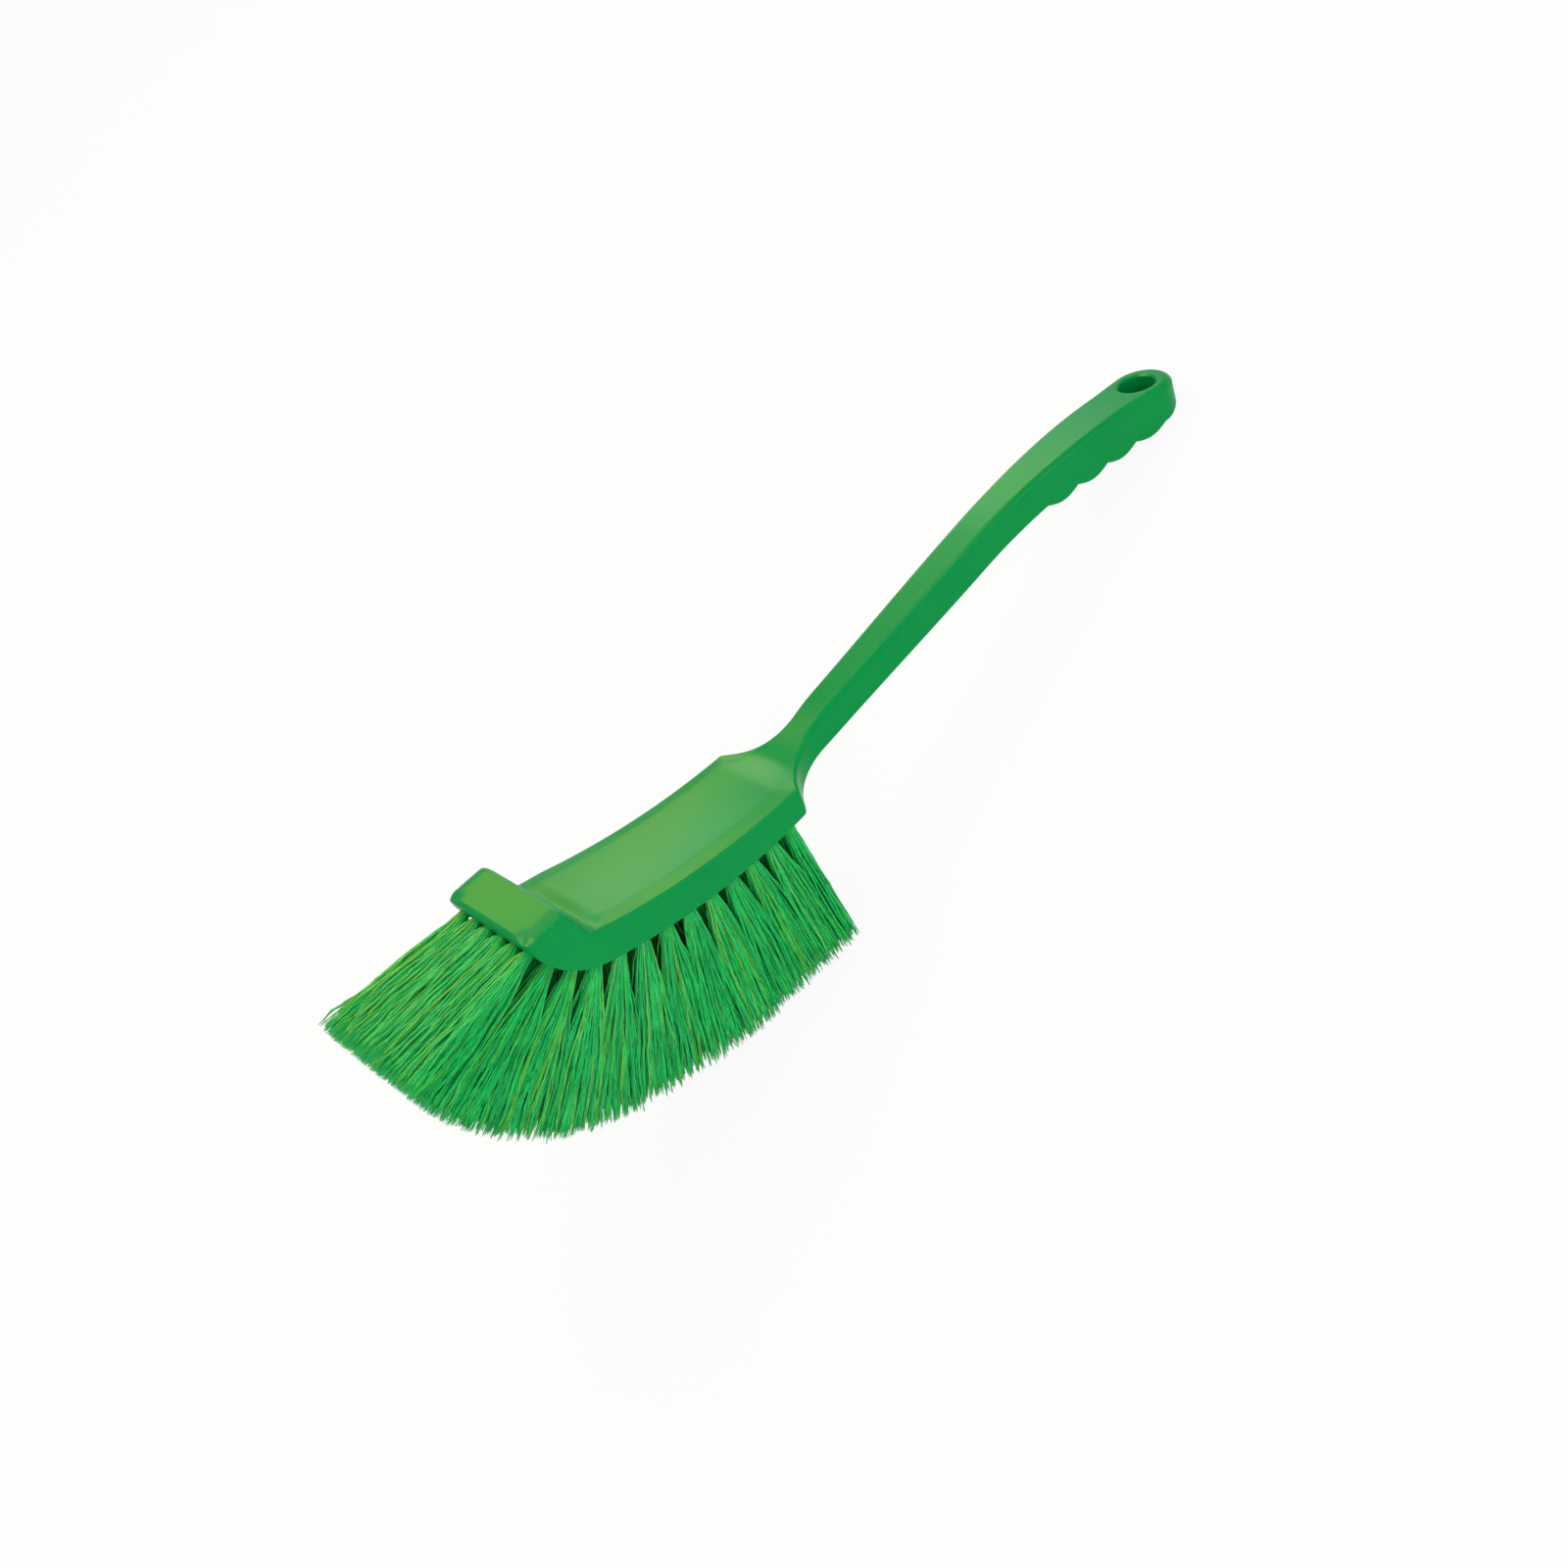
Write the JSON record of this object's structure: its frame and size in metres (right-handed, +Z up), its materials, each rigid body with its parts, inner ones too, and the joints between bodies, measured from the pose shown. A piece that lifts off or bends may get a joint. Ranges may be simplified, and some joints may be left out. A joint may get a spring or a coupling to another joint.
{
  "type": "car wash brush",
  "caption": "Long-handled hand wash brush with a curved moulded head, a raised front bar, fanned filament tufts, a finger grip and a hanging hole.",
  "frame": {"origin": "middle of the footprint, on the table that the rear bristles and the end of the grip lie on", "axes": "+X from the bristle head towards the hanging hole, +Y across the head, +Z up from the table"},
  "size_m": [0.483, 0.079, 0.1678],
  "materials": {
    "body_plastic": "satin",
    "bristle_plastic": "satin"
  },
  "bodies": {
    "root": {"brush_body": "body_plastic", "rim_tuft_01": "bristle_plastic", "rim_tuft_02": "bristle_plastic", "rim_tuft_03": "bristle_plastic", "rim_tuft_04": "bristle_plastic", "rim_tuft_05": "bristle_plastic", "rim_tuft_06": "bristle_plastic", "rim_tuft_07": "bristle_plastic", "rim_tuft_08": "bristle_plastic", "rim_tuft_09": "bristle_plastic", "rim_tuft_10": "bristle_plastic", "rim_tuft_11": "bristle_plastic", "rim_tuft_12": "bristle_plastic", "rim_tuft_13": "bristle_plastic", "rim_tuft_14": "bristle_plastic", "rim_tuft_15": "bristle_plastic", "rim_tuft_16": "bristle_plastic", "rim_tuft_17": "bristle_plastic", "rim_tuft_18": "bristle_plastic", "rim_tuft_19": "bristle_plastic", "rim_tuft_20": "bristle_plastic", "rim_tuft_21": "bristle_plastic", "rim_tuft_22": "bristle_plastic", "rim_tuft_23": "bristle_plastic", "rim_tuft_24": "bristle_plastic", "rim_tuft_25": "bristle_plastic", "rim_tuft_26": "bristle_plastic", "rim_tuft_27": "bristle_plastic", "rim_tuft_28": "bristle_plastic", "rim_tuft_29": "bristle_plastic", "rim_tuft_30": "bristle_plastic", "rim_tuft_31": "bristle_plastic", "rim_tuft_32": "bristle_plastic", "rim_tuft_33": "bristle_plastic", "rim_tuft_34": "bristle_plastic", "core_tuft_01": "bristle_plastic", "core_tuft_02": "bristle_plastic", "core_tuft_03": "bristle_plastic", "core_tuft_04": "bristle_plastic", "core_tuft_05": "bristle_plastic", "core_tuft_06": "bristle_plastic", "core_tuft_07": "bristle_plastic", "core_tuft_08": "bristle_plastic", "core_tuft_09": "bristle_plastic", "core_tuft_10": "bristle_plastic", "core_tuft_11": "bristle_plastic", "core_tuft_12": "bristle_plastic", "core_tuft_13": "bristle_plastic", "core_tuft_14": "bristle_plastic", "core_tuft_15": "bristle_plastic", "core_tuft_16": "bristle_plastic", "core_tuft_17": "bristle_plastic", "core_tuft_18": "bristle_plastic", "core_tuft_19": "bristle_plastic", "core_tuft_20": "bristle_plastic", "core_tuft_21": "bristle_plastic", "core_tuft_22": "bristle_plastic", "core_tuft_23": "bristle_plastic", "core_tuft_24": "bristle_plastic", "core_tuft_25": "bristle_plastic"}
  },
  "joints": []
}
